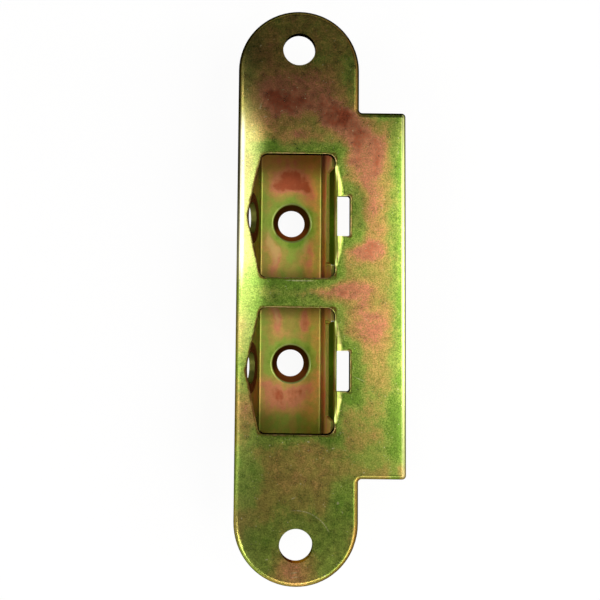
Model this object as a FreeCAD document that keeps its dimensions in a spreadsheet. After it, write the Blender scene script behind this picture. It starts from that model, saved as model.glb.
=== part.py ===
"""Door strike plate: a flat face plate with a full lip and two latch windows, and the
folded box behind it that the bolts run into.

Frame, in millimetres: X across the plate towards the lip, Y along the plate, Z out of
its face. The origin is midway between the two end screws, on the back of the plate.
"""
import FreeCAD, Part
import math
import os

import Sketcher
from FreeCAD import Placement, Rotation, Vector

SIZES = [
    # Face plate
    ("plate_length", 139.7, "over the two round ends"),
    ("plate_width", 41.3, "from the long straight edge to the edge of the lip"),
    ("strip_width", 29.8, "of the strip with the round ends"),
    ("plate_thickness", 1.9, "of the plate"),
    ("lip_setback", 25.35, "from an end of the plate to the lip, along the plate"),
    ("lip_corner_radius", 0.95, "of the two outer corners of the lip"),
    ("lip_root_radius", 0.8, "where the lip leaves the strip"),
    ("edge_round", 1.35, "rolled front edge round the outline"),
    ("rim_round", 0.3, "rolled front edge of the windows and slots"),
    ("end_screw_inset", 9.85, "from an end of the plate to the middle of its screw hole"),
    ("screw_hole_diameter", 8.0, "of the end screw holes"),
    # Latch windows, one each side of the middle bridge
    ("window_spacing", 37.6, "between the middles of the two windows"),
    ("window_height", 30.3, "of a window along the plate"),
    ("window_width", 18.05, "of a window at its ends"),
    ("window_right", 9.05, "from the line of the screws to the straight side of a window"),
    ("window_point", 3.4, "how far the pointed side stands out past the ends"),
    ("window_corner_radius", 2.0, "of the four corners of a window"),
    ("window_point_radius", 2.5, "of the blunt point"),
    # Adjusting tab, bent down from the straight side of each window
    ("tab_length", 23.95, "of a tab along the plate, at its root"),
    ("tab_offset", 0.125, "of a tab from the middle of its window, away from the bridge"),
    ("tab_depth", 7.3, "of a tab below the back of the plate"),
    ("tab_thickness", 0.7, "of a tab"),
    ("tab_lean", 3.0, "degrees that a tab leans into the window"),
    ("tab_square", 3.0, "how far down the end of a tab next to the bridge stays square"),
    ("tab_taper", 0.9, "how far that end slants back from there to its free edge"),
    ("bend_length", 25.0, "of the bend above a tab, along the plate"),
    ("bend_full_length", 13.0, "of its middle, where it is at its widest"),
    ("bend_reach", 2.35, "of the middle of the bend into the plate"),
    ("bend_end_reach", 0.7, "of the ends of the bend into the plate"),
    ("slot_height", 9.8, "of the pry slot beside a tab, along the plate"),
    ("slot_width", 3.2, "of the pry slot"),
    ("slot_web", 0.45, "of metal left between a window and its slot"),
    ("slot_corner_radius", 0.6, "of the corners of the pry slot on the lip side"),
    ("slot_root_radius", 0.4, "of the corners of the pry slot on the tab side"),
    # Latch box, one folded sheet
    ("box_length", 82.5, "of the box along the plate"),
    ("box_depth", 16.4, "from the back of the plate to the floor of the box"),
    ("box_sheet", 1.5, "thickness of the folded sheet"),
    ("floor_width", 16.8, "of the floor between the folds"),
    ("wall_ledge", 0.75, "how far the lip side wall stands into a window"),
    ("left_lean", 15.0, "degrees that the screw wall leans out"),
    ("right_lean", 1.4, "degrees that the lip side wall leans out"),
    ("fold_radius", 0.8, "inside radius of the folds"),
    ("cutout_clearance", 0.15, "round a tab, in the wall that it dips into"),
    ("cutout_gap", 1.0, "below a tab, in the same wall"),
    ("relief_width", 1.2, "of the relief notch of a cut-out"),
    ("relief_depth", 1.5, "of the relief notch below its cut-out"),
    ("relief_radius", 0.5, "of the corners of the relief notch"),
    # Screw holes of the box
    ("floor_hole_offset", 0.35, "of the floor holes from the line of the end screws"),
    ("floor_hole_diameter", 7.2, "of the screw holes in the floor"),
    ("floor_head_diameter", 10.3, "of their formed countersinks"),
    ("floor_mouth_radius", 0.6, "at the mouth of a countersink"),
    ("floor_cone_depth", 1.95, "of the countersink cone"),
    ("floor_flare", 0.5, "how much wider the formed metal is under the floor than the mouth"),
    ("floor_formed_depth", 2.7, "from the floor to the lower rim of the formed hole"),
    ("floor_formed_wall", 1.15, "of metal round the lower rim"),
    ("side_hole_diameter", 7.9, "of the screw holes in the leaning wall"),
    ("side_hole_spacing", 38.6, "between those two holes"),
    ("side_hole_depth", 9.2, "from the back of the plate to the middle of those holes"),
    ("dish_diameter", 13.0, "of the shallow dish pressed round each of those holes"),
    ("dish_flat_diameter", 11.4, "of the flat bottom of the dish"),
    ("dish_depth", 0.15, "of the dish"),
]

UPPER = "1"
LOWER = "-1"

HALF_STRIP = "sizes.strip_width / 2"
END_CENTRE = "(sizes.plate_length - sizes.strip_width) / 2"
LIP_EDGE = "sizes.plate_width - sizes.strip_width / 2"
HALF_LIP = "(sizes.plate_length / 2 - sizes.lip_setback)"
WINDOW_MIDDLE = "sizes.window_spacing / 2"
WINDOW_LEFT = "sizes.window_right - sizes.window_width"
WINDOW_NEAR = "(sizes.window_spacing - sizes.window_height) / 2"
WINDOW_FAR = "(sizes.window_spacing + sizes.window_height) / 2"
SLOT_LEFT = "(sizes.window_right + sizes.slot_web)"
SLOT_ROOT = f"({SLOT_LEFT} + sizes.slot_root_radius)"
TAB_MIDDLE = "(sizes.window_spacing / 2 + sizes.tab_offset)"
TAB_NEAR = f"({TAB_MIDDLE} - sizes.tab_length / 2)"
TAB_FAR = f"({TAB_MIDDLE} + sizes.tab_length / 2)"
END_SCREW = "(sizes.plate_length / 2 - sizes.end_screw_inset)"

SHEET_ACROSS_LEFT = "sizes.box_sheet / cos(sizes.left_lean * 1deg)"
SHEET_ACROSS_RIGHT = "sizes.box_sheet / cos(sizes.right_lean * 1deg)"
RIGHT_TOP = "sizes.window_right - sizes.wall_ledge"
RIGHT_FLOOR = f"{RIGHT_TOP} - sizes.box_depth * tan(sizes.right_lean * 1deg)"
LEFT_FLOOR = f"{RIGHT_FLOOR} - sizes.floor_width"
LEFT_TOP = f"{LEFT_FLOOR} - sizes.box_depth * tan(sizes.left_lean * 1deg)"
CUTOUT_DEPTH = "sizes.tab_depth + sizes.cutout_gap"

OPEN_END = 2.0
TOUCH = 1e-4


def make_sheet(doc):
    """The sheet of driving sizes, one row for each, with its name as the alias."""
    sheet = doc.addObject("Spreadsheet::Sheet", "sizes")
    for row, (name, value, meaning) in enumerate(SIZES, start=1):
        sheet.set(f"A{row}", name)
        sheet.set(f"B{row}", str(value))
        sheet.set(f"C{row}", meaning)
        sheet.setAlias(f"B{row}", name)
    doc.recompute()
    return sheet


def make_body(doc, name):
    body = doc.addObject("PartDesign::Body", name)
    body.Label = name
    body.Placement = Placement()
    return body


def new_sketch(body, name, role, offset=None, angle=None):
    """A sketch on one of the body's own origin planes, moved by expressions in its plane."""
    plane = next(item for item in body.Origin.OriginFeatures if item.Role == role)
    sketch = body.newObject("Sketcher::SketchObject", name)
    sketch.AttachmentSupport = (plane, [""])
    sketch.MapMode = "FlatFace"
    if angle:
        sketch.AttachmentOffset = Placement(Vector(), Rotation(Vector(0, 0, 1), 1.0))
        sketch.setExpression("AttachmentOffset.Rotation.Angle", angle)
    for axis, expression in zip("xyz", offset or ()):
        sketch.setExpression(f"AttachmentOffset.Base.{axis}", expression)
    return sketch


def value(sketch, expression):
    """The number that an expression in the named sizes gives."""
    return float(sketch.evalExpression(expression))


def fix(sketch, kind, geometry, point, expression):
    """Bind one coordinate of a point of the sketch to the sizes."""
    number = value(sketch, expression)
    index = sketch.addConstraint(Sketcher.Constraint(kind, geometry, point, number))
    sketch.setExpression(f"Constraints[{index}]", expression)


def join(sketch, first, second):
    """Join the end of one edge to the start of the next."""
    sketch.addConstraint(Sketcher.Constraint("Coincident", first, 2, second, 1))


def add_line(sketch, start, end):
    ends = [Vector(value(sketch, x), value(sketch, y), 0) for x, y in (start, end)]
    return sketch.addGeometry(Part.LineSegment(*ends), False)


def add_arc(sketch, start, end, centre):
    """The arc about a centre from start to end, turning anticlockwise."""
    first, last, middle = (Vector(*place(sketch, item), 0) for item in (start, end, centre))
    circle = Part.Circle(middle, Vector(0, 0, 1), (first - middle).Length)
    angles = [math.atan2(point.y - middle.y, point.x - middle.x) for point in (first, last)]
    return sketch.addGeometry(Part.ArcOfCircle(circle, *angles), False)


def add_outline(sketch, corners, centres=None):
    """A closed outline, anticlockwise, each corner held by its two coordinates.

    Its edges are straight, apart from an arc after each corner that has a centre.
    """
    centres = centres or {}
    edges = []
    for number, (start, end) in enumerate(zip(corners, corners[1:] + corners[:1])):
        if number in centres:
            edges.append(add_arc(sketch, start, end, centres[number]))
        else:
            edges.append(add_line(sketch, start, end))
    for first, second in zip(edges, edges[1:] + edges[:1]):
        join(sketch, first, second)
    for edge, (x, y) in zip(edges, corners):
        fix(sketch, "DistanceX", edge, 1, x)
        fix(sketch, "DistanceY", edge, 1, y)
    for number, (x, y) in centres.items():
        across = place(sketch, corners[number])[0] != place(sketch, centres[number])[0]
        kind, expression = ("DistanceY", y) if across else ("DistanceX", x)
        fix(sketch, kind, edges[number], 3, expression)


def add_circle(sketch, x, y, diameter):
    centre = Vector(value(sketch, x), value(sketch, y), 0)
    radius = value(sketch, diameter) / 2
    circle = sketch.addGeometry(Part.Circle(centre, Vector(0, 0, 1), radius), False)
    fix(sketch, "DistanceX", circle, 3, x)
    fix(sketch, "DistanceY", circle, 3, y)
    index = sketch.addConstraint(Sketcher.Constraint("Diameter", circle, 2 * radius))
    sketch.setExpression(f"Constraints[{index}]", diameter)


def pad(body, name, sketch, length, symmetric=False):
    feature = body.newObject("PartDesign::Pad", name)
    feature.Profile = sketch
    feature.SideType = "Symmetric" if symmetric else "One side"
    feature.setExpression("Length", length)
    return recomputed(feature)


def pocket(body, name, sketch, reverse=False):
    """A cut through everything on one side of the sketch."""
    feature = body.newObject("PartDesign::Pocket", name)
    feature.Profile = sketch
    feature.Type = "ThroughAll"
    feature.Reversed = reverse
    return recomputed(feature)


def turn(body, name, kind, sketch, axis):
    """A full turn of the sketch about one of its own axes, added or cut away."""
    feature = body.newObject(f"PartDesign::{kind}", name)
    feature.Profile = sketch
    feature.ReferenceAxis = (sketch, [axis])
    feature.Angle = 360.0
    return recomputed(feature)


def fillet(body, name, radius, test):
    """Round the edges of the body's latest feature that pass the test."""
    base = body.Tip
    edges = [f"Edge{i}" for i, edge in enumerate(base.Shape.Edges, start=1) if test(edge)]
    feature = body.newObject("PartDesign::Fillet", name)
    feature.Base = (base, edges)
    feature.setExpression("Radius", radius)
    return recomputed(feature)


def recomputed(feature):
    feature.Document.recompute()
    return feature


def is_along(edge, axis, places):
    """True for a straight edge along an axis, at one of the places given by the other two."""
    across = [item for item in "xyz" if item != axis]
    first, last = (
        tuple(getattr(vertex.Point, item) for item in across)
        for vertex in (edge.firstVertex(), edge.lastVertex())
    )
    straight = isinstance(edge.Curve, Part.Line) and math.dist(first, last) < TOUCH
    return straight and any(math.dist(first, place) < TOUCH for place in places)


def is_in_plane(edge, height):
    """True for an edge that lies flat at one height."""
    box = edge.BoundBox
    return abs(box.ZMin - height) < TOUCH and abs(box.ZMax - height) < TOUCH


def make_outline(body):
    """The blank: a strip with full round ends, and the lip standing out at its right."""
    sketch = new_sketch(body, "outline", "XY_Plane")
    corners = [
        (f"-{HALF_STRIP}", f"{END_CENTRE}"),
        (f"-{HALF_STRIP}", f"-{END_CENTRE}"),
        (HALF_STRIP, f"-{END_CENTRE}"),
        (HALF_STRIP, f"-{HALF_LIP}"),
        (LIP_EDGE, f"-{HALF_LIP}"),
        (LIP_EDGE, HALF_LIP),
        (HALF_STRIP, HALF_LIP),
        (HALF_STRIP, END_CENTRE),
    ]
    centres = {1: ("0", f"-{END_CENTRE}"), 7: ("0", END_CENTRE)}
    add_outline(sketch, corners, centres)
    return pad(body, "blank", sketch, "sizes.plate_thickness")


def make_lip_corners(body):
    """Round the corners of the lip, and the two roots where it leaves the strip."""
    sketch = body.Tip.Profile[0]
    edge, root, lip = (value(sketch, item) for item in (LIP_EDGE, HALF_STRIP, HALF_LIP))
    corners = [(edge, lip), (edge, -lip)]
    roots = [(root, lip), (root, -lip)]
    fillet(body, "lip_corners", "sizes.lip_corner_radius", lambda e: is_along(e, "z", corners))
    fillet(body, "lip_roots", "sizes.lip_root_radius", lambda e: is_along(e, "z", roots))


def make_windows(body):
    """The two latch windows: straight on the lip side, bluntly pointed on the other."""
    sketch = new_sketch(body, "windows", "XY_Plane")
    point_x = f"{WINDOW_LEFT} - sizes.window_point"
    corners, points = [], []
    for side in (UPPER, LOWER):
        near, middle, far = (f"{side} * {y}" for y in (WINDOW_NEAR, WINDOW_MIDDLE, WINDOW_FAR))
        square = [("sizes.window_right", near), ("sizes.window_right", far)]
        slanted = [(WINDOW_LEFT, far), (point_x, middle), (WINDOW_LEFT, near)]
        add_outline(sketch, square + slanted)
        corners += [place(sketch, item) for item in square + slanted[::2]]
        points.append(place(sketch, slanted[1]))
    pocket(body, "window_cuts", sketch, reverse=True)
    fillet(body, "window_corners", "sizes.window_corner_radius", lambda e: is_along(e, "z", corners))
    fillet(body, "window_points", "sizes.window_point_radius", lambda e: is_along(e, "z", points))


def place(sketch, corner):
    return tuple(value(sketch, item) for item in corner)


def make_slots(body):
    """The pry slot beside each tab, up to its end in the bend."""
    sketch = new_sketch(body, "slots", "XY_Plane")
    outer = f"{SLOT_LEFT} + sizes.slot_width"
    corners = []
    for side in (UPPER, LOWER):
        low, high = slot_ends(side)
        add_outline(sketch, [(SLOT_ROOT, low), (outer, low), (outer, high), (SLOT_ROOT, high)])
        corners += [place(sketch, (outer, low)), place(sketch, (outer, high))]
    pocket(body, "slot_cuts", sketch, reverse=True)
    fillet(body, "slot_corners", "sizes.slot_corner_radius", lambda e: is_along(e, "z", corners))


def slot_ends(side):
    """The two ends of a slot along the plate, the lower one first."""
    middle = f"{side} * {WINDOW_MIDDLE}"
    return f"({middle} - sizes.slot_height / 2)", f"({middle} + sizes.slot_height / 2)"


def open_slots_into_bends(body):
    """The end of each slot in the bend: a driver in it bends the tab in or out."""
    sketch = new_sketch(body, "slot_roots", "XY_Plane")
    inside = f"({SLOT_ROOT} + sizes.slot_root_radius)"
    for side in (UPPER, LOWER):
        low, high = slot_ends(side)
        low_turn = f"({low} + sizes.slot_root_radius)"
        high_turn = f"({high} - sizes.slot_root_radius)"
        outline = [
            (SLOT_LEFT, high_turn),
            (SLOT_LEFT, low_turn),
            (SLOT_ROOT, low),
            (inside, low),
            (inside, high),
            (SLOT_ROOT, high),
        ]
        centres = {1: (SLOT_ROOT, low_turn), 5: (SLOT_ROOT, high_turn)}
        add_outline(sketch, outline, centres)
    pocket(body, "slot_root_cuts", sketch, reverse=True)


def make_end_screw_holes(body):
    sketch = new_sketch(body, "end_screws", "XY_Plane")
    for side in (UPPER, LOWER):
        add_circle(sketch, "0", f"{side} * {END_SCREW}", "sizes.screw_hole_diameter")
    pocket(body, "end_screw_holes", sketch, reverse=True)


def roll_front_edges(body):
    """The punch rolls the front edges: a wide round outside, a small one at each window and slot.

    The screw holes, each a single circle, keep their sharp edges.
    """
    front = value(body.Tip, "sizes.plate_thickness")
    outside = front_face(body, front).OuterWire.Edges
    fillet(body, "rolled_outline", "sizes.edge_round", lambda e: is_one_of(e, outside))
    face = front_face(body, front)
    holes = [wire for wire in face.Wires if not wire.isSame(face.OuterWire)]
    openings = [wire for wire in holes if len(wire.Edges) > 1]
    tab_sides = [(value(body.Tip, SLOT_ROOT), front)]
    rims = [edge for wire in openings for edge in wire.Edges if not is_along(edge, "y", tab_sides)]
    fillet(body, "rolled_rims", "sizes.rim_round", lambda e: is_one_of(e, rims))


def front_face(body, height):
    """The largest flat face at one height."""
    faces = [face for face in body.Tip.Shape.Faces if abs(face.CenterOfMass.z - height) < TOUCH]
    return max(faces, key=lambda face: face.Area)


def is_one_of(edge, others):
    return any(edge.isSame(other) for other in others)


def make_tab(body, name, side):
    """A tab bent down from the straight side of a window."""
    drift = "sizes.tab_depth * tan(sizes.tab_lean * 1deg)"
    back = "sizes.window_right + sizes.tab_thickness"
    section = new_sketch(body, f"{name}_tab_section", "XZ_Plane", ("0", "0", f"-({side} * {TAB_MIDDLE})"))
    corners = [
        ("sizes.window_right", "0"),
        (f"sizes.window_right - {drift}", "-sizes.tab_depth"),
        (f"{back} - {drift}", "-sizes.tab_depth"),
        (back, "0"),
    ]
    add_outline(section, corners)
    pad(body, f"{name}_tab", section, "sizes.tab_length", symmetric=True)


def slant_tab_ends(body):
    """Slant the lower part of the end of each tab next to the bridge."""
    sketch = new_sketch(body, "tab_ends", "YZ_Plane")
    far = f"{TAB_NEAR} + 2 * sizes.tab_taper"
    below = "sizes.tab_square - 2 * sizes.tab_depth"
    for side in (UPPER, LOWER):
        triangle = [(TAB_NEAR, "-sizes.tab_square"), (far, below), (TAB_NEAR, below)]
        add_outline(sketch, [(f"{side} * ({y})", z) for y, z in triangle])
    pocket(body, "slanted_ends", sketch, reverse=True)


def make_bend(body, name, side):
    """Cut the square edge of the plate above a tab back to the round of the bend.

    The round is widest in the middle and runs out towards both ends.
    """
    half, full = "sizes.bend_length / 2", "sizes.bend_full_length / 2"
    wide, narrow = "sizes.bend_reach", "sizes.bend_end_reach"
    spots = [(f"-{half}", narrow), (f"-{full}", wide), (full, wide), (half, narrow)]
    sections = []
    for number, (along, reach) in enumerate(spots, start=1):
        along = f"{side} * {WINDOW_MIDDLE} + {along}"
        sections.append(make_bend_section(body, f"{name}_bend_{number}", along, reach))
    feature = body.newObject("PartDesign::SubtractiveLoft", f"{name}_bend")
    feature.Profile = sections[0]
    feature.Sections = sections[1:]
    feature.Ruled = True
    return recomputed(feature)


def make_bend_section(body, name, along, reach):
    """What a bend takes off the plate: outside the arc from its front to the root of the tab."""
    sketch = new_sketch(body, name, "XZ_Plane", ("0", "0", f"-({along})"))
    front = "sizes.plate_thickness"
    turn_x = f"sizes.window_right + {reach}"
    radius = f"({reach} ^ 2 + {front} ^ 2) / (2 * {front})"
    inside = f"sizes.window_right - {OPEN_END}"
    top = f"{front} + {OPEN_END}"
    outline = [(turn_x, front), ("sizes.window_right", "0"), (inside, "0"), (inside, top), (turn_x, top)]
    add_outline(sketch, outline, {0: (turn_x, f"{front} - {radius}")})
    return sketch


def make_face_plate(doc):
    body = make_body(doc, "face_plate")
    make_outline(body)
    make_lip_corners(body)
    make_windows(body)
    make_slots(body)
    make_end_screw_holes(body)
    roll_front_edges(body)
    make_bend(body, "upper", UPPER)
    make_bend(body, "lower", LOWER)
    open_slots_into_bends(body)
    make_tab(body, "upper", UPPER)
    make_tab(body, "lower", LOWER)
    slant_tab_ends(body)
    return body


def make_folded_sheet(body):
    """The channel section: floor, leaning screw wall and lip side wall, with round folds."""
    section = new_sketch(body, "box_section", "XZ_Plane")
    floor = "-sizes.box_depth"
    under = "-sizes.box_depth - sizes.box_sheet"
    left_under = f"{LEFT_FLOOR} + sizes.box_sheet * tan(sizes.left_lean * 1deg) - {SHEET_ACROSS_LEFT}"
    right_under = f"{RIGHT_FLOOR} - sizes.box_sheet * tan(sizes.right_lean * 1deg) + {SHEET_ACROSS_RIGHT}"
    corners = [
        (LEFT_TOP, "0"),
        (f"{LEFT_TOP} - {SHEET_ACROSS_LEFT}", "0"),
        (left_under, under),
        (right_under, under),
        (f"{RIGHT_TOP} + {SHEET_ACROSS_RIGHT}", "0"),
        (RIGHT_TOP, "0"),
        (RIGHT_FLOOR, floor),
        (LEFT_FLOOR, floor),
    ]
    add_outline(section, corners)
    pad(body, "folded_sheet", section, "sizes.box_length", symmetric=True)
    inner = [place(section, item) for item in corners[6:]]
    outer = [place(section, item) for item in corners[2:4]]
    fillet(body, "fold_insides", "sizes.fold_radius", lambda e: is_along(e, "y", inner))
    outside_radius = "sizes.fold_radius + sizes.box_sheet"
    fillet(body, "fold_outsides", outside_radius, lambda e: is_along(e, "y", outer))


def make_tab_cutouts(body):
    """Openings in the lip side wall for the tabs, each with a relief notch by the bridge."""
    sketch = new_sketch(body, "cutouts", "YZ_Plane")
    near = f"({TAB_NEAR} - sizes.cutout_clearance)"
    far = f"({TAB_FAR} + sizes.cutout_clearance)"
    step = f"({near} + sizes.relief_width)"
    depth = f"-({CUTOUT_DEPTH})"
    relief = f"-({CUTOUT_DEPTH} + sizes.relief_depth)"
    above = str(OPEN_END)
    ends = []
    for side in (UPPER, LOWER):
        corners = [(far, above), (near, above), (near, relief), (step, relief), (step, depth), (far, depth)]
        corners = [(f"{side} * {y}", z) for y, z in corners]
        add_outline(sketch, corners)
        ends += [place(sketch, item) for item in corners[2:4]]
    pocket(body, "tab_cutouts", sketch, reverse=True)
    fillet(body, "relief_corners", "sizes.relief_radius", lambda e: is_along(e, "x", ends))


def make_floor_hole(body, name, side):
    """A screw hole in the floor, formed down into a countersink with a lip below it."""
    offset = ("-sizes.floor_hole_offset", "-sizes.box_depth", f"-({side} * {WINDOW_MIDDLE})")
    rim = "sizes.floor_hole_diameter / 2"
    head = "sizes.floor_head_diameter / 2"
    foot = f"{rim} + sizes.floor_formed_wall"
    bottom = "-sizes.floor_formed_depth"
    formed = new_sketch(body, f"{name}_floor_boss", "XZ_Plane", offset)
    under = "-sizes.box_sheet"
    skirt = f"{head} + sizes.floor_flare"
    add_outline(formed, [("0", under), ("0", bottom), (foot, bottom), (skirt, under)])
    turn(body, f"{name}_floor_formed", "Revolution", formed, "V_Axis")
    hole = new_sketch(body, f"{name}_floor_bore", "XZ_Plane", offset)
    through = f"{bottom} - {OPEN_END}"
    cone = "-sizes.floor_cone_depth"
    add_outline(hole, [("0", "0"), ("0", through), (rim, through), (rim, cone), (head, "0")])
    turn(body, f"{name}_floor_hole", "Groove", hole, "V_Axis")


def round_floor_mouths(body):
    """Round the mouths of the two countersinks."""
    height = value(body.Tip, "-sizes.box_depth")
    radius = value(body.Tip, "sizes.floor_head_diameter / 2")
    fillet(body, "floor_mouths", "sizes.floor_mouth_radius", lambda e: is_circle(e, radius, height))


def is_circle(edge, radius, height):
    """True for a flat circle of one radius at one height."""
    circular = isinstance(edge.Curve, Part.Circle) and is_in_plane(edge, height)
    return circular and abs(edge.Curve.Radius - radius) < TOUCH


def make_side_hole(body, name, side):
    """A screw hole in the leaning wall, in the middle of a shallow pressed dish."""
    above_floor = "(sizes.box_depth - sizes.side_hole_depth)"
    wall_x = f"{LEFT_FLOOR} - {above_floor} * tan(sizes.left_lean * 1deg)"
    middle = f"{side} * sizes.side_hole_spacing / 2"
    offset = (wall_x, "-sizes.side_hole_depth", f"-({middle})")
    rim = "sizes.side_hole_diameter / 2"
    edge = "sizes.dish_diameter / 2"
    flat = "sizes.dish_flat_diameter / 2"
    outside = "-sizes.box_sheet"
    bulge = new_sketch(body, f"{name}_side_bulge", "XZ_Plane", offset, "sizes.left_lean")
    proud = f"{outside} - sizes.dish_depth"
    add_outline(bulge, [(outside, "0"), (outside, edge), (proud, flat), (proud, "0")])
    turn(body, f"{name}_side_dish", "Revolution", bulge, "H_Axis")
    hole = new_sketch(body, f"{name}_side_bore", "XZ_Plane", offset, "sizes.left_lean")
    dish = "-sizes.dish_depth"
    through = f"{proud} - {OPEN_END}"
    add_outline(hole, [("0", "0"), ("0", edge), (dish, flat), (dish, rim), (through, rim), (through, "0")])
    turn(body, f"{name}_side_hole", "Groove", hole, "H_Axis")


def make_latch_box(doc):
    body = make_body(doc, "latch_box")
    make_folded_sheet(body)
    make_tab_cutouts(body)
    for name, side in (("upper", UPPER), ("lower", LOWER)):
        make_floor_hole(body, name, side)
        make_side_hole(body, name, side)
    round_floor_mouths(body)
    return body


def check(doc, parts):
    """Stop if any object failed, or a part isn't one sound solid."""
    for item in doc.Objects:
        if "Invalid" in item.State or "Error" in item.State:
            raise RuntimeError(f"{item.Name} failed: {item.State}")
    for part in parts:
        shape = part.Shape
        if shape.isNull() or not shape.isValid() or len(shape.Solids) != 1:
            raise RuntimeError(f"{part.Label} isn't one valid solid")


def main():
    doc = FreeCAD.newDocument("strike_plate")
    make_sheet(doc)
    parts = [make_face_plate(doc), make_latch_box(doc)]
    doc.recompute()
    check(doc, parts)
    os.makedirs("parts", exist_ok=True)
    for part in parts:
        part.Shape.exportStep(os.path.join("parts", f"{part.Label}.step"))
        box = part.Shape.BoundBox
        print(f"{part.Label}: {part.Shape.Volume:.1f} mm3, {len(part.Shape.Faces)} faces,"
              f" X {box.XMin:.2f} to {box.XMax:.2f}, Y {box.YMin:.2f} to {box.YMax:.2f},"
              f" Z {box.ZMin:.2f} to {box.ZMax:.2f}")


main()
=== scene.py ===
"""A door strike plate with yellow zinc plating, seen from straight above on a pale floor."""
import math

import bmesh
import bpy
from mathutils import Matrix, Vector


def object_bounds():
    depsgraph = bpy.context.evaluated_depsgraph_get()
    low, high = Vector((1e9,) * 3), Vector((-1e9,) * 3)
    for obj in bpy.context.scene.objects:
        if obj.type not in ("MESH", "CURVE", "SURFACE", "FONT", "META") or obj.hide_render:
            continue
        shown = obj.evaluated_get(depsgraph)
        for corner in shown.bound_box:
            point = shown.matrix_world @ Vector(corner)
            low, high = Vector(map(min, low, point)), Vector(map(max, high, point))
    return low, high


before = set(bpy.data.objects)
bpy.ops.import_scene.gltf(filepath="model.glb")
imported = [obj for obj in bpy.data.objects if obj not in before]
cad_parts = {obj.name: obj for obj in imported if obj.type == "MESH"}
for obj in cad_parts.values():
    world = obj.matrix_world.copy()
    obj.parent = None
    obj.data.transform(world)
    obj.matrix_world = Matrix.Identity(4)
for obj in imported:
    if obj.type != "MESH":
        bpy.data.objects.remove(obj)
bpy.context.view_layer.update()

# The camera: metres and radians, and image offsets as shares of the image width.
CAMERA_PLACE = (-0.012715, -0.001249, 0.1719)
CAMERA_ROLL = -0.01175
CAMERA_PITCH = -0.05818
CAMERA_LENS = 42.12
CAMERA_SENSOR = 36.0
CAMERA_SHIFT = (0.0907, -0.0729)

FLOOR_RADIUS = 1.6
BACKDROP_RADIUS = 2.6
BACKDROP_HEIGHT = 1.3
FLOOR_WHITE_SHARE = 0.93


def linear(red, green, blue):
    """A colour given in the steps 0 to 255 of a screen, as Blender's linear colour."""
    values = []
    for step in (red, green, blue):
        share = step / 255
        values.append(share / 12.92 if share <= 0.04045 else ((share + 0.055) / 1.055) ** 2.4)
    return (*values, 1.0)


# Node helpers.
def node(tree, kind, inputs=(), **settings):
    """A shader node: settings are its properties, inputs its sockets by name or number."""
    made = tree.nodes.new(kind)
    for name, setting in settings.items():
        setattr(made, name, setting)
    pairs = inputs.items() if isinstance(inputs, dict) else enumerate(inputs)
    for name, given in pairs:
        if isinstance(given, bpy.types.NodeSocket):
            tree.links.new(given, made.inputs[name])
        elif given is not None:
            made.inputs[name].default_value = given
    return made


def math_node(tree, operation, *inputs):
    return node(tree, "ShaderNodeMath", inputs, operation=operation).outputs[0]


def times(tree, *values):
    """The product of two or more numbers."""
    product = values[0]
    for value in values[1:]:
        product = math_node(tree, "MULTIPLY", product, value)
    return product


def less(tree, value, taken):
    return math_node(tree, "SUBTRACT", value, taken)


def vector_node(tree, operation, *inputs):
    made = node(tree, "ShaderNodeVectorMath", inputs, operation=operation)
    single = operation in ("LENGTH", "DOT_PRODUCT")
    return made.outputs["Value" if single else "Vector"]


def parts(tree, vector):
    """The x, y and z of a vector."""
    return node(tree, "ShaderNodeSeparateXYZ", {0: vector}).outputs[:]


def joined(tree, x, y, z):
    return node(tree, "ShaderNodeCombineXYZ", (x, y, z)).outputs[0]


def scaled(tree, vector, factor):
    return node(tree, "ShaderNodeVectorMath", {"Vector": vector, "Scale": factor},
                operation="SCALE").outputs[0]


def ranged(tree, value, low, high, to_low=0.0, to_high=1.0, smooth=True):
    """Value carried from low..high to to_low..to_high, and held at the ends."""
    return node(tree, "ShaderNodeMapRange", {
        "Value": value, "From Min": low, "From Max": high, "To Min": to_low, "To Max": to_high,
    }, interpolation_type="SMOOTHSTEP" if smooth else "LINEAR").outputs[0]


def noise(tree, vector, per_mm, detail=2.0, roughness=0.5):
    made = node(tree, "ShaderNodeTexNoise", {
        "Vector": vector, "Scale": per_mm, "Detail": detail, "Roughness": roughness,
    })
    return made.outputs[0]


def noise_vector(tree, vector, per_mm, reach):
    """A vector that wanders by up to about reach mm each way."""
    colour = node(tree, "ShaderNodeTexNoise", {
        "Vector": vector, "Scale": per_mm, "Detail": 3.0,
    }).outputs["Color"]
    centred = vector_node(tree, "SUBTRACT", colour, (0.5, 0.5, 0.5))
    return scaled(tree, centred, 2 * reach)


PATCH_RISE = 0.75


def patch(tree, vector, x, y, half_x, half_y, turn=0.0):
    """1 in the middle of an ellipse in the plan, and softly down to 0 at its edge."""
    local = node(tree, "ShaderNodeMapping", {
        "Vector": vector, "Location": (x, y, 0), "Rotation": (0, 0, math.radians(turn)),
        "Scale": (half_x, half_y, 1e6),
    }, vector_type="TEXTURE").outputs[0]
    ball = node(tree, "ShaderNodeTexGradient", {"Vector": local}, gradient_type="SPHERICAL")
    return ranged(tree, ball.outputs[1], 0.0, PATCH_RISE)


def patches(tree, vector, rows, start):
    """Start plus every row's patch times its strength."""
    total = start
    for x, y, half_x, half_y, turn, strength in rows:
        soft = patch(tree, vector, x, y, half_x, half_y, turn)
        total = math_node(tree, "MULTIPLY_ADD", soft, strength, total)
    return total


def outside_box(tree, vector, middle, half):
    """How far, in mm, a point of the plan is outside an upright rectangle."""
    offset = vector_node(tree, "SUBTRACT", vector, (*middle, 0))
    offset = vector_node(tree, "ABSOLUTE", offset)
    offset = vector_node(tree, "SUBTRACT", offset, (*half, 1e3))
    offset = vector_node(tree, "MAXIMUM", offset, (0, 0, 0))
    return vector_node(tree, "LENGTH", offset)


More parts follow.
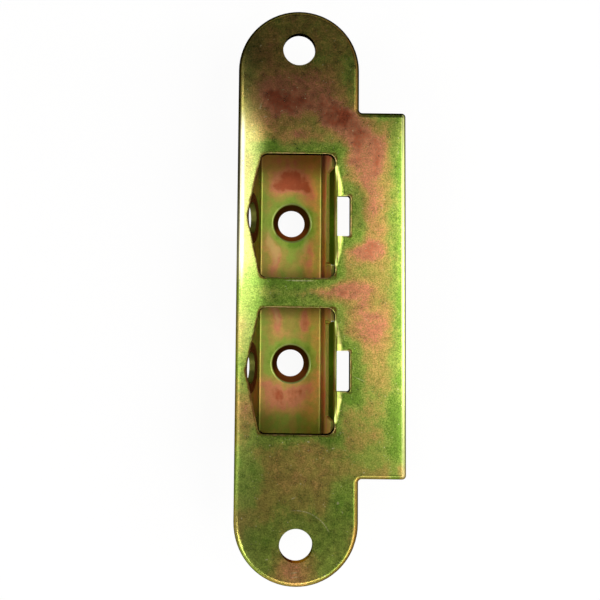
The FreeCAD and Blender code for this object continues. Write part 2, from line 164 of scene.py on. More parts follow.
def ramp(tree, value, stops):
    made = node(tree, "ShaderNodeValToRGB", {"Fac": value})
    elements = made.color_ramp.elements
    made.color_ramp.interpolation = "EASE"
    while len(elements) < len(stops):
        elements.new(0.5)
    for element, (place, colour) in zip(elements, stops):
        element.position = place
        element.color = colour
    return made.outputs[0]


def mixed(tree, factor, first, second, blend="MIX"):
    made = node(tree, "ShaderNodeMix", data_type="RGBA", blend_type=blend)
    for name, given in (("Factor_Float", factor), ("A_Color", first), ("B_Color", second)):
        socket = next(s for s in made.inputs if s.identifier == name)
        if isinstance(given, bpy.types.NodeSocket):
            tree.links.new(given, socket)
        else:
            socket.default_value = given
    return next(s for s in made.outputs if s.identifier == "Result_Color")


def shaded(tree, colour, brightness):
    """The colour times a number."""
    grey = node(tree, "ShaderNodeCombineColor", [brightness] * 3).outputs[0]
    return mixed(tree, 1.0, colour, grey, "MULTIPLY")


def new_material(name):
    material = bpy.data.materials.new(name)
    material.use_nodes = True
    material.node_tree.nodes.clear()
    return material, material.node_tree


# The plating. Its film goes through these colours as it gets thicker. In the functions
# below, the places that ranged() is given along x, y and z are in mm.
FILM = (
    (0.00, linear(110, 142, 50)),
    (0.22, linear(139, 156, 66)),
    (0.42, linear(161, 146, 72)),
    (0.58, linear(181, 144, 81)),
    (0.76, linear(190, 126, 90)),
    (1.00, linear(162, 84, 56)),
)
FILM_MIDDLE = 0.42
FILM_GREEN = -0.34
BOX_THINNER = 0.04
# The film value under the painted highlight along the left edge.
FILM_UNDER_HIGHLIGHT = 0.34
FILM_AT_LIP = -0.24
PLATE_SPECKLE = 0.56
BOX_SPECKLE = 0.08
# Painted highlight: a pale band, greener by the bridge, with a white core, along the left edge and
# the lip's right edge.
HIGHLIGHT_PALE = linear(205, 204, 138)
HIGHLIGHT_GREEN = linear(166, 194, 104)
HIGHLIGHT_CORE_PALE = linear(246, 242, 206)
# A painted highlight on the bends beside the slots.
BEND_HIGHLIGHT = linear(200, 218, 104)
# A painted highlight on the root of each bend.
ROOT_HIGHLIGHT_GREEN = linear(214, 232, 130)
# Painted shade on the outermost rounding where no lamp reaches it.
EDGE_SHADE_OLIVE = linear(30, 27, 9)
# Painted shade on the cut faces of the openings, also the painted dark reflection line on each bend.
PAINTED_DARK_BROWN = linear(66, 42, 22)
# Painted shade on the strip's side by the lip.
SIDE_SHADE_BROWN = linear(132, 92, 46)
# A painted highlight on the rims of the openings and on the root of each bend.
RIM_HIGHLIGHT_GOLD = linear(213, 190, 124)
RIM_BROWN = linear(92, 59, 25)
# Painted shade on the rims that face right.
RIM_SHADE_DARK = linear(50, 31, 13)
RUBBED_PALE = linear(210, 201, 156)
TAB_GREEN = linear(158, 196, 76)
FILM_TINT = linear(85, 82, 36)
# Painted shade inside the floor holes, redder on their lower side.
CONE_SHADE_BROWN = linear(75, 48, 20)
CONE_LOWER_SHADE_RED = linear(142, 82, 43)
# A painted highlight ring at the mouth of each floor hole.
RING_HIGHLIGHT_GREEN = linear(169, 183, 110)
BORE_OLIVE = linear(85, 87, 39)
DISH_MAROON = linear(99, 44, 27)

# Places on the part, in mm: middle and half size in the plan.
WINDOW_MIDDLE = (0.0, 18.8)
WINDOW_HALF = (9.05, 15.15)
WINDOW_POINT = 3.4
SLOT_MIDDLE = (11.1, 18.8)
SLOT_HALF = (1.6, 4.9)
SLOT_GREEN_HALF = (2.6, 6.0)
SLOT_ROOT_HALF = (4.0, 4.6)
BEND_MIDDLE = (10.4, 18.8)
BEND_HALF = (1.4, 11.9)
INNER_MIDDLE = (0.2, 18.8)
INNER_HALF = (12.8, 15.6)
FLOOR_HOLE = (-0.35, 18.8)
FLOOR_HEAD_RADIUS = 4.95
SIDE_HOLE = (-10.83, 19.3, -9.2)
SIDE_AXIS = (0.966, 0.0, 0.259)
SCRATCH_CENTRE_Y = -60.4
SCRATCH_RADIUS = 8.65

# The rings of each hole in the leaning wall: radius and softness in mm, share and colour.
SIDE_HOLE_RINGS = (
    (6.5, 0.2, 0.85, DISH_MAROON),
    (4.05, 0.05, 1.0, BORE_OLIVE),
)

# Heights of the fine relief, in metres.
GRAIN_HEIGHT = 0.000003
COARSE_HEIGHT = 0.000010
BOX_COARSE_HEIGHT = 0.000006

# The left edge of the plate and the lip look drawn down a little. The bump shows it.
DRAWN_RADIUS = 14.9
DRAWN_WIDTH = 9.0
DRAWN_SLOPE = 0.34
DRAWN_FULL = -13.4
DRAWN_START = -6.5
RIGHT_DRAWN_START = 23.6
RIGHT_DRAWN_WIDTH = 2.8
RIGHT_DRAWN_SLOPE = 0.07
END_CENTRE = 54.95

# Broad clouds of thicker film (rose, above 0) and thinner film (green, below 0) on the
# plate: x, y, half width and half height in mm, turn in degrees, and strength.
PLATE_CLOUDS = (
    (1, 49.5, 14, 9, 0, 0.30),
    (-2.5, 46.5, 7, 4.5, 0, 0.26),
    (8, 44, 7, 4.5, -20, 0.26),
    (12, 41.5, 8, 5.5, -25, 0.34),
    (17, 35, 7, 10, 8, 0.36),
    (17.5, 25, 7, 9, 0, 0.20),
    (17.5, 17, 5, 7, 0, 0.16),
    (16.5, 10.4, 6.4, 4.6, 0, 0.44),
    (14, 0.5, 8.5, 5.0, 0, 0.36),
    (18, -7.5, 7, 8, 0, 0.28),
    (18.5, -16, 6, 8, 0, 0.02),
    (17, -27, 9, 9, 0, -0.10),
    (-10.6, -27, 4.5, 9, 0, 0.38),
    (-8.5, 48, 6, 8, 0, 0.20),
    (0, -43.5, 13, 8, 0, 0.06),
    (-0.8, -66.2, 5.5, 4.5, 0, 0.22),
    (-9.5, -61, 7, 9, 0, -0.20),
    (9, -62, 7, 9, 0, -0.20),
    (-6, 57, 8, 8, 0, 0.10),
    (13, 54, 5, 9, 0, -0.12),
    (2, 57, 7, 3, 0, -0.10),
    (-8, 41, 7, 3.6, 0, 0.16),
    (20, 44.6, 9, 2.0, 0, -0.36),
    (25.6, 6, 2.2, 80, 0, -0.22),
    (23.5, -32, 5, 10, 0, -0.20),
    (0, 38.6, 7, 2.6, 0, 0.18),
    (18, -39, 10, 5, 0, -0.16),
    (25.6, -43.4, 2.6, 4.0, 0, 0.60),
    (-12, 0, 5, 9, 0, -0.30),
    (-4, 1, 9, 5, 0, -0.22),
    (6, -0.5, 4, 2.4, 0, 0.14),
    (-9, 35.4, 7, 2.4, 0, -0.24),
    (-13, -44, 6, 12, 0, -0.32),
    (11.5, -50, 6, 10, 0, -0.32),
    (0, -57, 15, 7, 0, -0.18),
    (0, -50, 9, 6, 0, -0.08),
)

# The same on the floor and walls of the box.
BOX_CLOUDS = (
    (0, 35, 14, 5, 0, 0.26),
    (-1.0, 29.5, 8.5, 4.5, 0, 0.60),
    (3.4, 25.5, 5, 4.5, -30, 0.30),
    (-5.4, 9.5, 2.2, 9, 2, 0.34),
    (4.2, 9.5, 2.2, 8, -3, 0.34),
    (-4.4, -7.5, 2.4, 6, 4, 0.40),
    (3.2, -7.5, 2.6, 6, -4, 0.44),
    (-1.0, -26.5, 11, 8, 0, 0.50),
    (-2.0, -26, 1.2, 6, 0, -0.14),
    (-8.4, 22, 2.4, 14, 0, -0.10),
    (0, 12, 2.6, 8, 0, -0.16),
    (-8.4, -14, 2.4, 14, 0, -0.06),
    (0, -35, 14, 4, 0, -0.10),
)

# Painted shade (below 0) and painted light (above 0) on places of the plate: the same columns as the
# clouds.
PLATE_PAINTED_LIGHT_AND_SHADE = (
    (14.6, 21.0, 4.5, 8.0, 0, -0.30),
    (14.6, -20.0, 4.5, 8.0, 0, -0.12),
    (-11.0, 60.0, 5.0, 8.0, 30, -0.32),
    (19.0, 44.5, 8.0, 3.0, 0, 0.42),
    (-9.0, 39.3, 4.0, 4.5, 0, 0.40),
    (8.0, -36.0, 7.0, 5.0, 0, -0.14),
)

# Painted light and shade along the plate: from y, to y, and the shares at these two places.
PLATE_LIGHT_AND_SHADE_ALONG = (
    (34.0, 44.0, 1.0, 0.72),
    (44.0, 56.0, 1.0, 0.80),
    (58.0, 68.0, 1.0, 1.25),
    (-36.0, -14.0, 0.74, 1.0),
    (-66.0, -58.0, 1.30, 1.0),
)

# Painted highlight streaks on the box floor: the same columns as the clouds.
BOX_HIGHLIGHT_STREAKS = (
    (-5.5, 12.0, 1.4, 7, 2, 0.60),
    (-4.6, -6.0, 1.2, 4, 3, 0.40),
    (3.2, 13.0, 1.0, 4, -3, 0.25),
)
# The colour of the painted highlight streaks on the box floor.
HIGHLIGHT_CREAM = linear(200, 182, 112)

# Short bright rubs and nicks: x, y, half length, half width, turn, strength.
PLATE_RUBS = (
    (9.9, -49.9, 0.42, 0.42, 30, 1.0),
    (11.0, -52.0, 0.5, 0.14, -60, 0.7),
    (6.8, -66.7, 0.4, 0.4, 0, 0.8),
    (8.1, -66.9, 0.3, 0.25, 0, 0.8),
    (-9.2, -49.1, 0.2, 0.2, 0, 0.8),
    (-9.5, -55.5, 0.2, 0.25, 0, 0.8),
    (2.8, -35.6, 0.4, 0.3, 0, 1.0),
    (-6.9, -63.2, 0.5, 0.22, 10, 0.9),
    (-3.0, -32.6, 1.6, 0.5, -20, 0.7),
    (4.4, -32.4, 3.8, 0.4, -8, 0.6),
    (15.0, -20.6, 2.2, 0.12, -24, 0.6),
    (-0.5, -66.2, 1.3, 0.25, 8, 0.7),
    (-0.2, -67.2, 1.4, 0.22, 4, 0.5),
    (-0.7, -48.9, 0.75, 0.2, 25, 0.8),
    (-9.4, 45.6, 1.2, 0.35, 80, 0.5),
    (-8.2, 43.0, 0.6, 0.35, 10, 0.6),
    (0.5, 2.9, 4.8, 0.22, 0, 0.9),
)


def folded_plan(tree, vector):
    """The plan point with y taken as if on the upper half."""
    x, y, _ = parts(tree, vector)
    return joined(tree, x, math_node(tree, "ABSOLUTE", y), 0.0)


def window_gap(tree, folded):
    """How far a plan point is outside the pointed window, in mm."""
    x, y, _ = parts(tree, vector_node(tree, "SUBTRACT", folded, (*WINDOW_MIDDLE, 0)))
    height = math_node(tree, "ABSOLUTE", y)
    ends = math_node(tree, "SUBTRACT", height, WINDOW_HALF[1])
    right = math_node(tree, "SUBTRACT", x, WINDOW_HALF[0])
    slant = math_node(tree, "MULTIPLY_ADD", height, WINDOW_POINT / WINDOW_HALF[1],
                      -WINDOW_HALF[0] - WINDOW_POINT)
    left = math_node(tree, "SUBTRACT", slant, x)
    sides = math_node(tree, "MAXIMUM", left, right)
    return math_node(tree, "SMOOTH_MAX", ends, sides, 1.6)


class Surface:
    """What the plating is made from at each point: places in mm, directions and two noises."""

    def __init__(self, tree, grain_roughness):
        self.place = scaled(tree, node(tree, "ShaderNodeTexCoord").outputs["Object"], 1000.0)
        self.x, self.y, self.z = parts(tree, self.place)
        normal = node(tree, "ShaderNodeNewGeometry").outputs["Normal"]
        self.sideways, self.lengthwise, up = parts(tree, normal)
        self.upward = math_node(tree, "ABSOLUTE", up)
        self.plan = folded_plan(tree, self.place)
        self.grain = noise(tree, self.place, 3.0, 2.0, grain_roughness)
        self.coarse = noise(tree, self.place, 0.7, 2.0, 0.6)


def common_film(tree, place, clouds, mottle_share, streak_place, streak_share):
    """Clouds, mottling and streaks of the film, and the wandering place that the clouds use."""
    wander = vector_node(tree, "ADD", place, noise_vector(tree, place, 0.17, 3.0))
    film = patches(tree, wander, clouds, FILM_MIDDLE)
    mottle = less(tree, noise(tree, place, 0.30, 4.0, 0.65), 0.5)
    film = math_node(tree, "MULTIPLY_ADD", mottle, mottle_share, film)
    streaks = less(tree, noise(tree, streak_place, 0.5, 2.0), 0.5)
    return math_node(tree, "MULTIPLY_ADD", streaks, streak_share, film), wander


def speckled(tree, colour, surface, spread):
    """The colour with the fine sparkle of the metal under the film."""
    fine = ranged(tree, surface.grain, 0.36, 0.68, 1.0 - 0.36 * spread, 1.0 + spread, False)
    broad = ranged(tree, surface.coarse, 0.3, 0.7, 0.92, 1.08, False)
    return shaded(tree, colour, times(tree, fine, broad))


def finish_plating(tree, colour, roughness, height):
    """The metal shader; height is its fine relief in metres."""
    bump = node(tree, "ShaderNodeBump", {"Strength": 1.0, "Distance": 1.0, "Height": height})
    shader = node(tree, "ShaderNodeBsdfPrincipled", {
        "Base Color": colour, "Metallic": 1.0, "Roughness": roughness, "Normal": bump.outputs[0],
        "Specular Tint": FILM_TINT,
    })
    output = node(tree, "ShaderNodeOutputMaterial")
    tree.links.new(shader.outputs[0], output.inputs["Surface"])


# The plating of the face plate.
def plate_film(tree, surface):
    """How thick the film is on the plate. It is thin and green round the openings and at the lip."""
    mottle_share = ranged(tree, surface.y, -48.0, -32.0, 0.32, 0.60)
    streak_place = vector_node(tree, "MULTIPLY", surface.place, (1.0, 0.3, 1.0))
    film, wander = common_film(tree, surface.place, PLATE_CLOUDS, mottle_share, streak_place, 0.16)
    soft_plan = folded_plan(tree, wander)
    soft_slot = outside_box(tree, soft_plan, SLOT_MIDDLE, SLOT_GREEN_HALF)
    band = math_node(tree, "MINIMUM", window_gap(tree, soft_plan), soft_slot)
    green = ranged(tree, band, 0.5, 3.7, 1.0, 0.0)
    film = math_node(tree, "MULTIPLY_ADD", green, FILM_GREEN, film)
    grain_share = ranged(tree, surface.y, -46.0, -30.0, 0.26, 0.62)
    film = math_node(tree, "MULTIPLY_ADD", less(tree, surface.grain, 0.5), grain_share, film)
    return math_node(tree, "MULTIPLY_ADD", ranged(tree, surface.x, 20.5, 24.0), FILM_AT_LIP, film)


def plate_highlight_share(tree, surface):
    """The share of the painted highlight, a pale band along the left edge, which fades towards both
    ends.
    """
    return times(tree, ranged(tree, surface.x, DRAWN_FULL, DRAWN_START, 0.9, 0.0),
                 ranged(tree, surface.y, -22.0, 10.0, 0.14, 0.94),
                 ranged(tree, surface.y, 36.0, 50.0, 1.0, 0.2))


def plate_colour(tree, surface):
    """The film's colour with the painted highlights along the left edge and the lip, the sparkle,
    and the painted light and shade of the plate.
    """
    left_highlight = plate_highlight_share(tree, surface)
    film = node(tree, "ShaderNodeMix", {
        "Factor": times(tree, left_highlight, 0.72), "A": plate_film(tree, surface), "B": FILM_UNDER_HIGHLIGHT,
    }).outputs[0]
    bridge = patch(tree, surface.place, -11.0, 0.0, 7.0, 10.0)
    left_highlight_colour = mixed(tree, bridge, HIGHLIGHT_PALE, HIGHLIGHT_GREEN)
    colour = mixed(tree, times(tree, left_highlight, 0.55), ramp(tree, film, FILM), left_highlight_colour)
    colour = speckled(tree, colour, surface, PLATE_SPECKLE)
    # A white core of painted highlight along the left edge.
    highlight_core = times(tree, ranged(tree, surface.x, -13.6, -12.9, 0.8, 0.0),
                 ranged(tree, surface.y, 0.0, 10.0), ranged(tree, surface.y, 38.0, 46.0, 1.0, 0.0))
    colour = mixed(tree, highlight_core, colour, HIGHLIGHT_CORE_PALE)
    # A painted highlight along the lip's right edge.
    colour = mixed(tree, ranged(tree, surface.x, 24.9, 25.5, 0.0, 0.6), colour, HIGHLIGHT_PALE)
    # Painted light and shade across and along the plate.
    bright = patches(tree, surface.place, PLATE_PAINTED_LIGHT_AND_SHADE, 1.0)
    for low, high, to_low, to_high in PLATE_LIGHT_AND_SHADE_ALONG:
        bright = times(tree, bright, ranged(tree, surface.y, low, high, to_low, to_high))
    return shaded(tree, colour, bright)


def with_bends(tree, colour, surface, zone):
    """Painted highlight on the bends beside the slots, each with a painted dark reflection line
    along it.
    """
    bend = times(tree, zone, ranged(tree, surface.upward, 0.90, 0.98, 0.8, 0.0))
    colour = mixed(tree, bend, colour, BEND_HIGHLIGHT)
    dark_reflection_line = times(tree, ranged(tree, surface.x, 9.42, 9.52),
                   ranged(tree, surface.x, 9.68, 9.80, 1.0, 0.0), bend)
    return mixed(tree, dark_reflection_line, colour, PAINTED_DARK_BROWN)


def with_marks(tree, colour, surface):
    """Rubs, the curved scratch above the lower screw hole, and single bright grains."""
    rub = patches(tree, surface.place, PLATE_RUBS, 0.0)
    offset = joined(tree, surface.x, less(tree, surface.y, SCRATCH_CENTRE_Y), 0.0)
    off_ring = less(tree, vector_node(tree, "LENGTH", offset), SCRATCH_RADIUS)
    off_ring = math_node(tree, "ABSOLUTE", off_ring)
    scratch = times(tree, ranged(tree, off_ring, 0.04, 0.16, 0.7, 0.0),
                    ranged(tree, surface.x, -1.8, 0.4), ranged(tree, surface.y, -57.2, -55.8))
    rub = math_node(tree, "MAXIMUM", rub, scratch)
    rub = times(tree, rub, ranged(tree, surface.grain, 0.3, 0.6))
    spark = ranged(tree, noise(tree, surface.place, 1.9, 1.0, 0.5), 0.72, 0.80, 0.0, 0.7)
    return mixed(tree, math_node(tree, "MAXIMUM", rub, spark), colour, RUBBED_PALE)


def with_rims(tree, colour, surface, zone, inside):
    """The rolled rims of the openings: a line of painted highlight in patches, painted shade where
    the rim faces right, and brown film beside it.
    """
    slot_gap = outside_box(tree, surface.plan, SLOT_MIDDLE, SLOT_HALF)
    gap = math_node(tree, "MINIMUM", window_gap(tree, surface.plan), slot_gap)
    beside = times(tree, ranged(tree, gap, 0.25, 0.65, 1.0, 0.0),
                   ranged(tree, surface.coarse, 0.42, 0.56, 0.40, 0.90), less(tree, 1.0, zone))
    colour = mixed(tree, beside, colour, RIM_BROWN)
    rim_highlight_patches = math_node(tree, "MAXIMUM", ranged(tree, surface.coarse, 0.44, 0.58, 0.2, 1.0),
                     ranged(tree, surface.x, -8.0, -9.4, 0.0, 0.9))
    rim_light_and_shade = mixed(tree, ranged(tree, surface.sideways, 0.05, 0.25), RIM_HIGHLIGHT_GOLD, RIM_SHADE_DARK)
    rim = times(tree, ranged(tree, surface.upward, 0.92, 0.99, 1.0, 0.0), inside, rim_highlight_patches,
                ranged(tree, surface.z, 1.3, 1.6),
                ranged(tree, surface.sideways, 0.05, 0.25, 0.6, 0.95))
    return mixed(tree, rim, colour, rim_light_and_shade)


def with_edges(tree, colour, surface, inside):
    """The outermost rounding, painted dark as shade where no lamp reaches it, and painted shade on
    the strip's side by the lip.
    """
    outside = less(tree, 1.0, inside)
    faces_lip = ranged(tree, surface.sideways, 0.1, 0.3)
    lit_side = times(tree, faces_lip, ranged(tree, surface.x, 15.5, 18.0, 0.25, 1.0))
    lit = math_node(tree, "MAXIMUM", lit_side, ranged(tree, surface.lengthwise, -0.1, -0.3))
    shifted = math_node(tree, "MULTIPLY_ADD", lit, 0.14, surface.upward)
    faces_top = ranged(tree, surface.lengthwise, 0.02, 0.20)
    shifted = math_node(tree, "MULTIPLY_ADD", faces_top, -0.055, shifted)
    lit_left = times(tree, ranged(tree, surface.sideways, -0.1, -0.4),
                     ranged(tree, surface.y, 40.0, 52.0, 0.04, 0.0))
    rolled = times(tree, ranged(tree, shifted, 0.80, 0.93, 1.0, 0.0), outside,
                   ranged(tree, surface.y, -30.0, 36.0, 0.25, 0.95), less(tree, 1.0, lit_left))
    strip_side_shade = times(tree, faces_lip, ranged(tree, surface.x, 15.5, 16.5, 0.7, 0.0), outside)
    colour = mixed(tree, strip_side_shade, colour, SIDE_SHADE_BROWN)
    return mixed(tree, rolled, colour, EDGE_SHADE_OLIVE)


def with_tabs(tree, colour, surface, zone, inside):
    """Painted shade on the cut faces, a painted highlight on the root of each bend, and the green
    tabs below the plate.
    """
    cut = times(tree, ranged(tree, surface.upward, 0.50, 0.80, 1.0, 0.0),
                ranged(tree, surface.z, -0.2, 0.1), inside, less(tree, 1.0, zone), 0.95)
    colour = mixed(tree, cut, colour, PAINTED_DARK_BROWN)
    off_slot = outside_box(tree, surface.plan, SLOT_MIDDLE, SLOT_ROOT_HALF)
    root_highlight_colour = mixed(tree, ranged(tree, off_slot, 0.0, 0.8, 1.0, 0.0), ROOT_HIGHLIGHT_GREEN, RIM_HIGHLIGHT_GOLD)
    root = times(tree, ranged(tree, surface.x, 9.34, 9.44, 0.9, 0.0), zone)
    colour = mixed(tree, root, colour, root_highlight_colour)
    return mixed(tree, ranged(tree, surface.z, -1.2, -0.2, 1.0, 0.0), colour, TAB_GREEN)


def drawn_down(tree, past, slope, width):
    """The fall in metres, past mm into a drawn edge that reaches this slope at this width."""
    return times(tree, past, past, -0.0005 * slope / width)


def plate_relief(tree, surface):
    """The fine relief of the plate, and the falls towards its left edge and its lip."""
    height = times(tree, surface.grain, GRAIN_HEIGHT)
    height = math_node(tree, "MULTIPLY_ADD", surface.coarse, COARSE_HEIGHT, height)
    from_middle = math_node(tree, "ABSOLUTE", surface.y)
    past_end = math_node(tree, "MAXIMUM", less(tree, from_middle, END_CENTRE), 0.0)
    left_part = math_node(tree, "MINIMUM", surface.x, 0.0)
    reach = vector_node(tree, "LENGTH", joined(tree, left_part, past_end, 0.0))
    past = math_node(tree, "MAXIMUM", less(tree, reach, DRAWN_RADIUS - DRAWN_WIDTH), 0.0)
    left_fall = times(tree, drawn_down(tree, past, DRAWN_SLOPE, DRAWN_WIDTH),
                      ranged(tree, from_middle, 32.0, 54.0, 1.0, 0.08))
    past_lip = math_node(tree, "MAXIMUM", less(tree, surface.x, RIGHT_DRAWN_START), 0.0)
    lip_fall = drawn_down(tree, past_lip, RIGHT_DRAWN_SLOPE, RIGHT_DRAWN_WIDTH)
    return math_node(tree, "ADD", math_node(tree, "ADD", height, left_fall), lip_fall)


def plate_plating():
    material, tree = new_material("plate_plating")
    surface = Surface(tree, 0.75)
    off_bend = outside_box(tree, surface.plan, BEND_MIDDLE, BEND_HALF)
    zone = ranged(tree, off_bend, 0.0, 0.4, 1.0, 0.0)
    off_openings = outside_box(tree, surface.plan, INNER_MIDDLE, INNER_HALF)
    inside = ranged(tree, off_openings, 0.0, 0.6, 1.0, 0.0)
    colour = plate_colour(tree, surface)
    colour = with_bends(tree, colour, surface, zone)
    colour = with_marks(tree, colour, surface)
    colour = with_rims(tree, colour, surface, zone, inside)
    colour = with_edges(tree, colour, surface, inside)
    colour = with_tabs(tree, colour, surface, zone, inside)
    roughness = ranged(tree, surface.coarse, 0.3, 0.7, 0.27, 0.33, False)
    finish_plating(tree, colour, roughness, plate_relief(tree, surface))
    return material


# The plating of the latch box.
def box_film(tree, surface, radius, deep, right_wall):
    """How thick the film is in the box, and the wandering place of its clouds."""
    streak_place = vector_node(tree, "MULTIPLY", surface.place, (1.0, 0.14, 1.0))
    film, wander = common_film(tree, surface.place, BOX_CLOUDS, 0.60, streak_place, 0.34)
    ring_film = times(tree, ranged(tree, radius, 5.4, 7.8, -0.30, 0.0), deep)
    film = math_node(tree, "ADD", less(tree, film, BOX_THINNER), ring_film)
    film = math_node(tree, "MULTIPLY_ADD", less(tree, surface.grain, 0.5), 0.10, film)
    return math_node(tree, "MULTIPLY_ADD", right_wall, 0.26, film), wander


def box_light_and_shade(tree, surface, radius, deep, right_wall):
    """Painted light and shade: the floor brighter than the walls, darker in its folds, under the
    bridge and towards its ends, brighter towards its right, and the right wall brighter high up.
    """
    level = times(tree, ranged(tree, surface.upward, 0.80, 0.97), deep)
    from_middle = math_node(tree, "ABSOLUTE", surface.y)
    to_ends = ranged(tree, from_middle, 27.0, 37.0, 1.0, 0.62)
    upper_end = ranged(tree, surface.y, 27.0, 37.0, 1.0, 0.84)
    along = times(tree, to_ends, upper_end, ranged(tree, from_middle, 3.6, 7.6, 0.55, 1.0),
                  ranged(tree, surface.x, 1.0, 7.0, 1.0, 1.45))
    high_wall = times(tree, right_wall, ranged(tree, surface.z, -14.0, -8.0))
    fold = times(tree, ranged(tree, surface.upward, 0.45, 0.60),
                 ranged(tree, surface.upward, 0.90, 0.98, 1.0, 0.0), ranged(tree, radius, 5.6, 6.0))
    return times(tree, ranged(tree, level, 0.0, 1.0, 0.9, 1.4, False), along,
                 ranged(tree, high_wall, 0.0, 1.0, 1.0, 2.4, False),
                 ranged(tree, fold, 0.0, 1.0, 1.0, 0.45))


def with_countersinks(tree, colour, surface, radius, deep):
    """The floor holes: painted shade inside, redder on their lower side, with a painted highlight
    ring at the mouth.
    """
    low_side = times(tree, ranged(tree, surface.lengthwise, 0.1, 0.6), 0.9)
    cone_shade_colour = mixed(tree, low_side, CONE_SHADE_BROWN, CONE_LOWER_SHADE_RED)
    mouth = FLOOR_HEAD_RADIUS
    cone = times(tree, ranged(tree, radius, mouth - 0.15, mouth + 0.05, 1.0, 0.0), deep)
    colour = mixed(tree, cone, colour, cone_shade_colour)
    ring = times(tree, ranged(tree, radius, mouth - 0.05, mouth + 0.1),
                 ranged(tree, radius, mouth + 0.3, mouth + 0.5, 1.0, 0.0), deep)
    return mixed(tree, ring, colour, RING_HIGHLIGHT_GREEN)


def with_side_holes(tree, colour, surface):
    """The holes in the leaning wall: an olive bore in a maroon dish."""
    upper_half = joined(tree, surface.x, math_node(tree, "ABSOLUTE", surface.y), surface.z)
    offset = vector_node(tree, "SUBTRACT", upper_half, SIDE_HOLE)
    along = vector_node(tree, "DOT_PRODUCT", offset, SIDE_AXIS)
    across = vector_node(tree, "SUBTRACT", offset, scaled(tree, SIDE_AXIS, along))
    distance = vector_node(tree, "LENGTH", across)
    left_side = ranged(tree, surface.x, -9.4, -8.6, 1.0, 0.0)
    for radius, soft, share, ring_colour in SIDE_HOLE_RINGS:
        within = ranged(tree, distance, radius - soft, radius + soft, share, 0.0)
        colour = mixed(tree, times(tree, within, left_side), colour, ring_colour)
    return colour


def box_plating():
    material, tree = new_material("box_plating")
    surface = Surface(tree, 0.7)
    off_hole = vector_node(tree, "SUBTRACT", surface.plan, (*FLOOR_HOLE, 0))
    radius = vector_node(tree, "LENGTH", off_hole)
    deep = ranged(tree, surface.z, -16.6, -15.4, 1.0, 0.0)
    right_wall = times(tree, ranged(tree, surface.upward, 0.4, 0.9, 1.0, 0.0),
                       ranged(tree, surface.x, 5.0, 7.0))
    film, wander = box_film(tree, surface, radius, deep, right_wall)
    colour = speckled(tree, ramp(tree, film, FILM), surface, BOX_SPECKLE)
    # Painted highlight streaks on the floor.
    pale = times(tree, patches(tree, wander, BOX_HIGHLIGHT_STREAKS, 0.0), deep)
    colour = mixed(tree, pale, colour, HIGHLIGHT_CREAM)
    # Painted light and shade of the box.
    colour = shaded(tree, colour, box_light_and_shade(tree, surface, radius, deep, right_wall))
    colour = with_countersinks(tree, colour, surface, radius, deep)
    colour = with_side_holes(tree, colour, surface)
    roughness = ranged(tree, surface.upward, 0.5, 0.95, 0.55, 0.46)
    finish_plating(tree, colour, roughness, times(tree, surface.coarse, BOX_COARSE_HEIGHT))
    return material


# The stage, the lights and the camera.
def make_floor():
    """A round pale floor that rises softly into a backdrop all round."""
    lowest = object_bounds()[0][2]
    profile = [(0.0, 0.0), (FLOOR_RADIUS, 0.0)]
    for step in range(1, 13):
        angle = math.radians(90 * step / 12)
        profile.append((FLOOR_RADIUS + (BACKDROP_RADIUS - FLOOR_RADIUS) * math.sin(angle),
                        BACKDROP_HEIGHT * (1 - math.cos(angle))))
    mesh = bpy.data.meshes.new("floor")
    lathe = bmesh.new()
    points = [lathe.verts.new((x, 0, lowest + z)) for x, z in profile]
    edges = [lathe.edges.new(pair) for pair in zip(points, points[1:])]
    bmesh.ops.spin(lathe, geom=points + edges, axis=(0, 0, 1), cent=(0, 0, 0), steps=64,
                   angle=math.tau)
    bmesh.ops.remove_doubles(lathe, verts=lathe.verts, dist=1e-5)
    for face in lathe.faces:
        face.smooth = True
    lathe.to_mesh(mesh)
    lathe.free()
    floor = bpy.data.objects.new("floor", mesh)
    bpy.context.scene.collection.objects.link(floor)

    material, tree = new_material("floor_white")
    path = node(tree, "ShaderNodeLightPath").outputs
    seen = math_node(tree, "MAXIMUM", path["Is Camera Ray"], path["Is Glossy Ray"])
    seen = math_node(tree, "MAXIMUM", seen, path["Is Transmission Ray"])
    share = math_node(tree, "MULTIPLY", seen, FLOOR_WHITE_SHARE)
    matt = node(tree, "ShaderNodeBsdfDiffuse", {"Color": (0.85, 0.85, 0.85, 1.0)})
    white = node(tree, "ShaderNodeEmission", {"Color": (1, 1, 1, 1), "Strength": 1.0})
    both = node(tree, "ShaderNodeMixShader", {0: share, 1: matt.outputs[0], 2: white.outputs[0]})
    output = node(tree, "ShaderNodeOutputMaterial")
    tree.links.new(both.outputs[0], output.inputs["Surface"])
    mesh.materials.append(material)


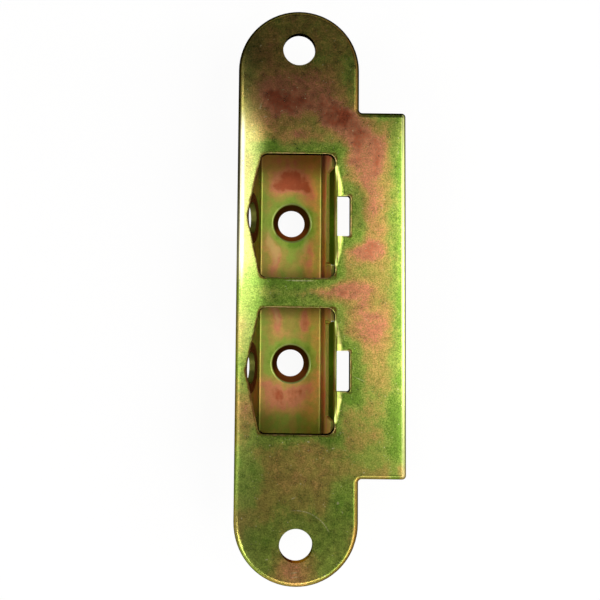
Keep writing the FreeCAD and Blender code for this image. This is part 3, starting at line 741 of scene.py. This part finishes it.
# Soft lamps: name, place, width, height and how bright each looks. All face the plate.
PANELS = (
    ("left_main", (-0.249, 0.075, 0.650), 0.20, 0.22, 4.2),
    ("left_slope", (-0.466, 0.062, 0.518), 0.20, 0.22, 5.5),
    ("right_high", (0.310, 0.099, 0.620), 0.18, 0.22, 6.8),
    ("right_low", (0.306, -0.147, 0.612), 0.18, 0.26, 4.5),
    ("right_slope", (0.570, 0.000, 0.407), 0.20, 0.56, 5.0),
    ("front_slope", (0.053, -0.540, 0.440), 0.36, 0.12, 6.0),
    ("front_left", (-0.380, -0.400, 0.430), 0.24, 0.16, 10.5),
    ("front_right", (0.400, -0.380, 0.430), 0.24, 0.16, 10.5),
    ("front_near", (-0.099, -0.211, 0.660), 0.20, 0.18, 0.45),
    ("left_panel", (-0.709, 0.0, 0.273), 0.34, 0.60, 1.5),
    ("right_panel", (0.709, 0.0, 0.273), 0.30, 0.50, 4.0),
)
LAMP_COLOUR = (1.0, 0.985, 0.96)
ROOM_STRENGTH = 0.03


def make_panel(name, place, width, height, radiance):
    """A soft rectangular lamp that faces the plate and looks about as bright as radiance."""
    lamp = bpy.data.lights.new(name, "AREA")
    lamp.shape = "RECTANGLE"
    lamp.size = width
    lamp.size_y = height
    lamp.energy = radiance * math.pi * width * height
    lamp.color = LAMP_COLOUR
    panel = bpy.data.objects.new(name, lamp)
    facing = Vector(place).to_track_quat("Z", "Y").to_matrix().to_4x4()
    panel.matrix_world = Matrix.Translation(place) @ facing
    bpy.context.scene.collection.objects.link(panel)


def make_lights():
    for panel in PANELS:
        make_panel(*panel)
    world = bpy.data.worlds.new("soft_room")
    bpy.context.scene.world = world
    world.use_nodes = True
    background = next(n for n in world.node_tree.nodes if n.type == "BACKGROUND")
    background.inputs["Color"].default_value = (1.0, 0.99, 0.97, 1.0)
    background.inputs["Strength"].default_value = ROOM_STRENGTH


def make_camera():
    data = bpy.data.cameras.new("camera")
    data.sensor_width = CAMERA_SENSOR
    data.lens = CAMERA_LENS
    data.shift_x, data.shift_y = CAMERA_SHIFT
    data.clip_start = 0.01
    camera = bpy.data.objects.new("camera", data)
    camera.matrix_world = (Matrix.Translation(CAMERA_PLACE)
                           @ Matrix.Rotation(-CAMERA_PITCH, 4, "X")
                           @ Matrix.Rotation(-CAMERA_ROLL, 4, "Z"))
    bpy.context.scene.collection.objects.link(camera)
    bpy.context.scene.camera = camera


def dress(name, material):
    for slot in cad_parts[name].material_slots:
        slot.material = material


bpy.context.scene.view_settings.view_transform = "Standard"
dress("face_plate", plate_plating())
dress("latch_box", box_plating())
make_floor()
make_lights()
make_camera()
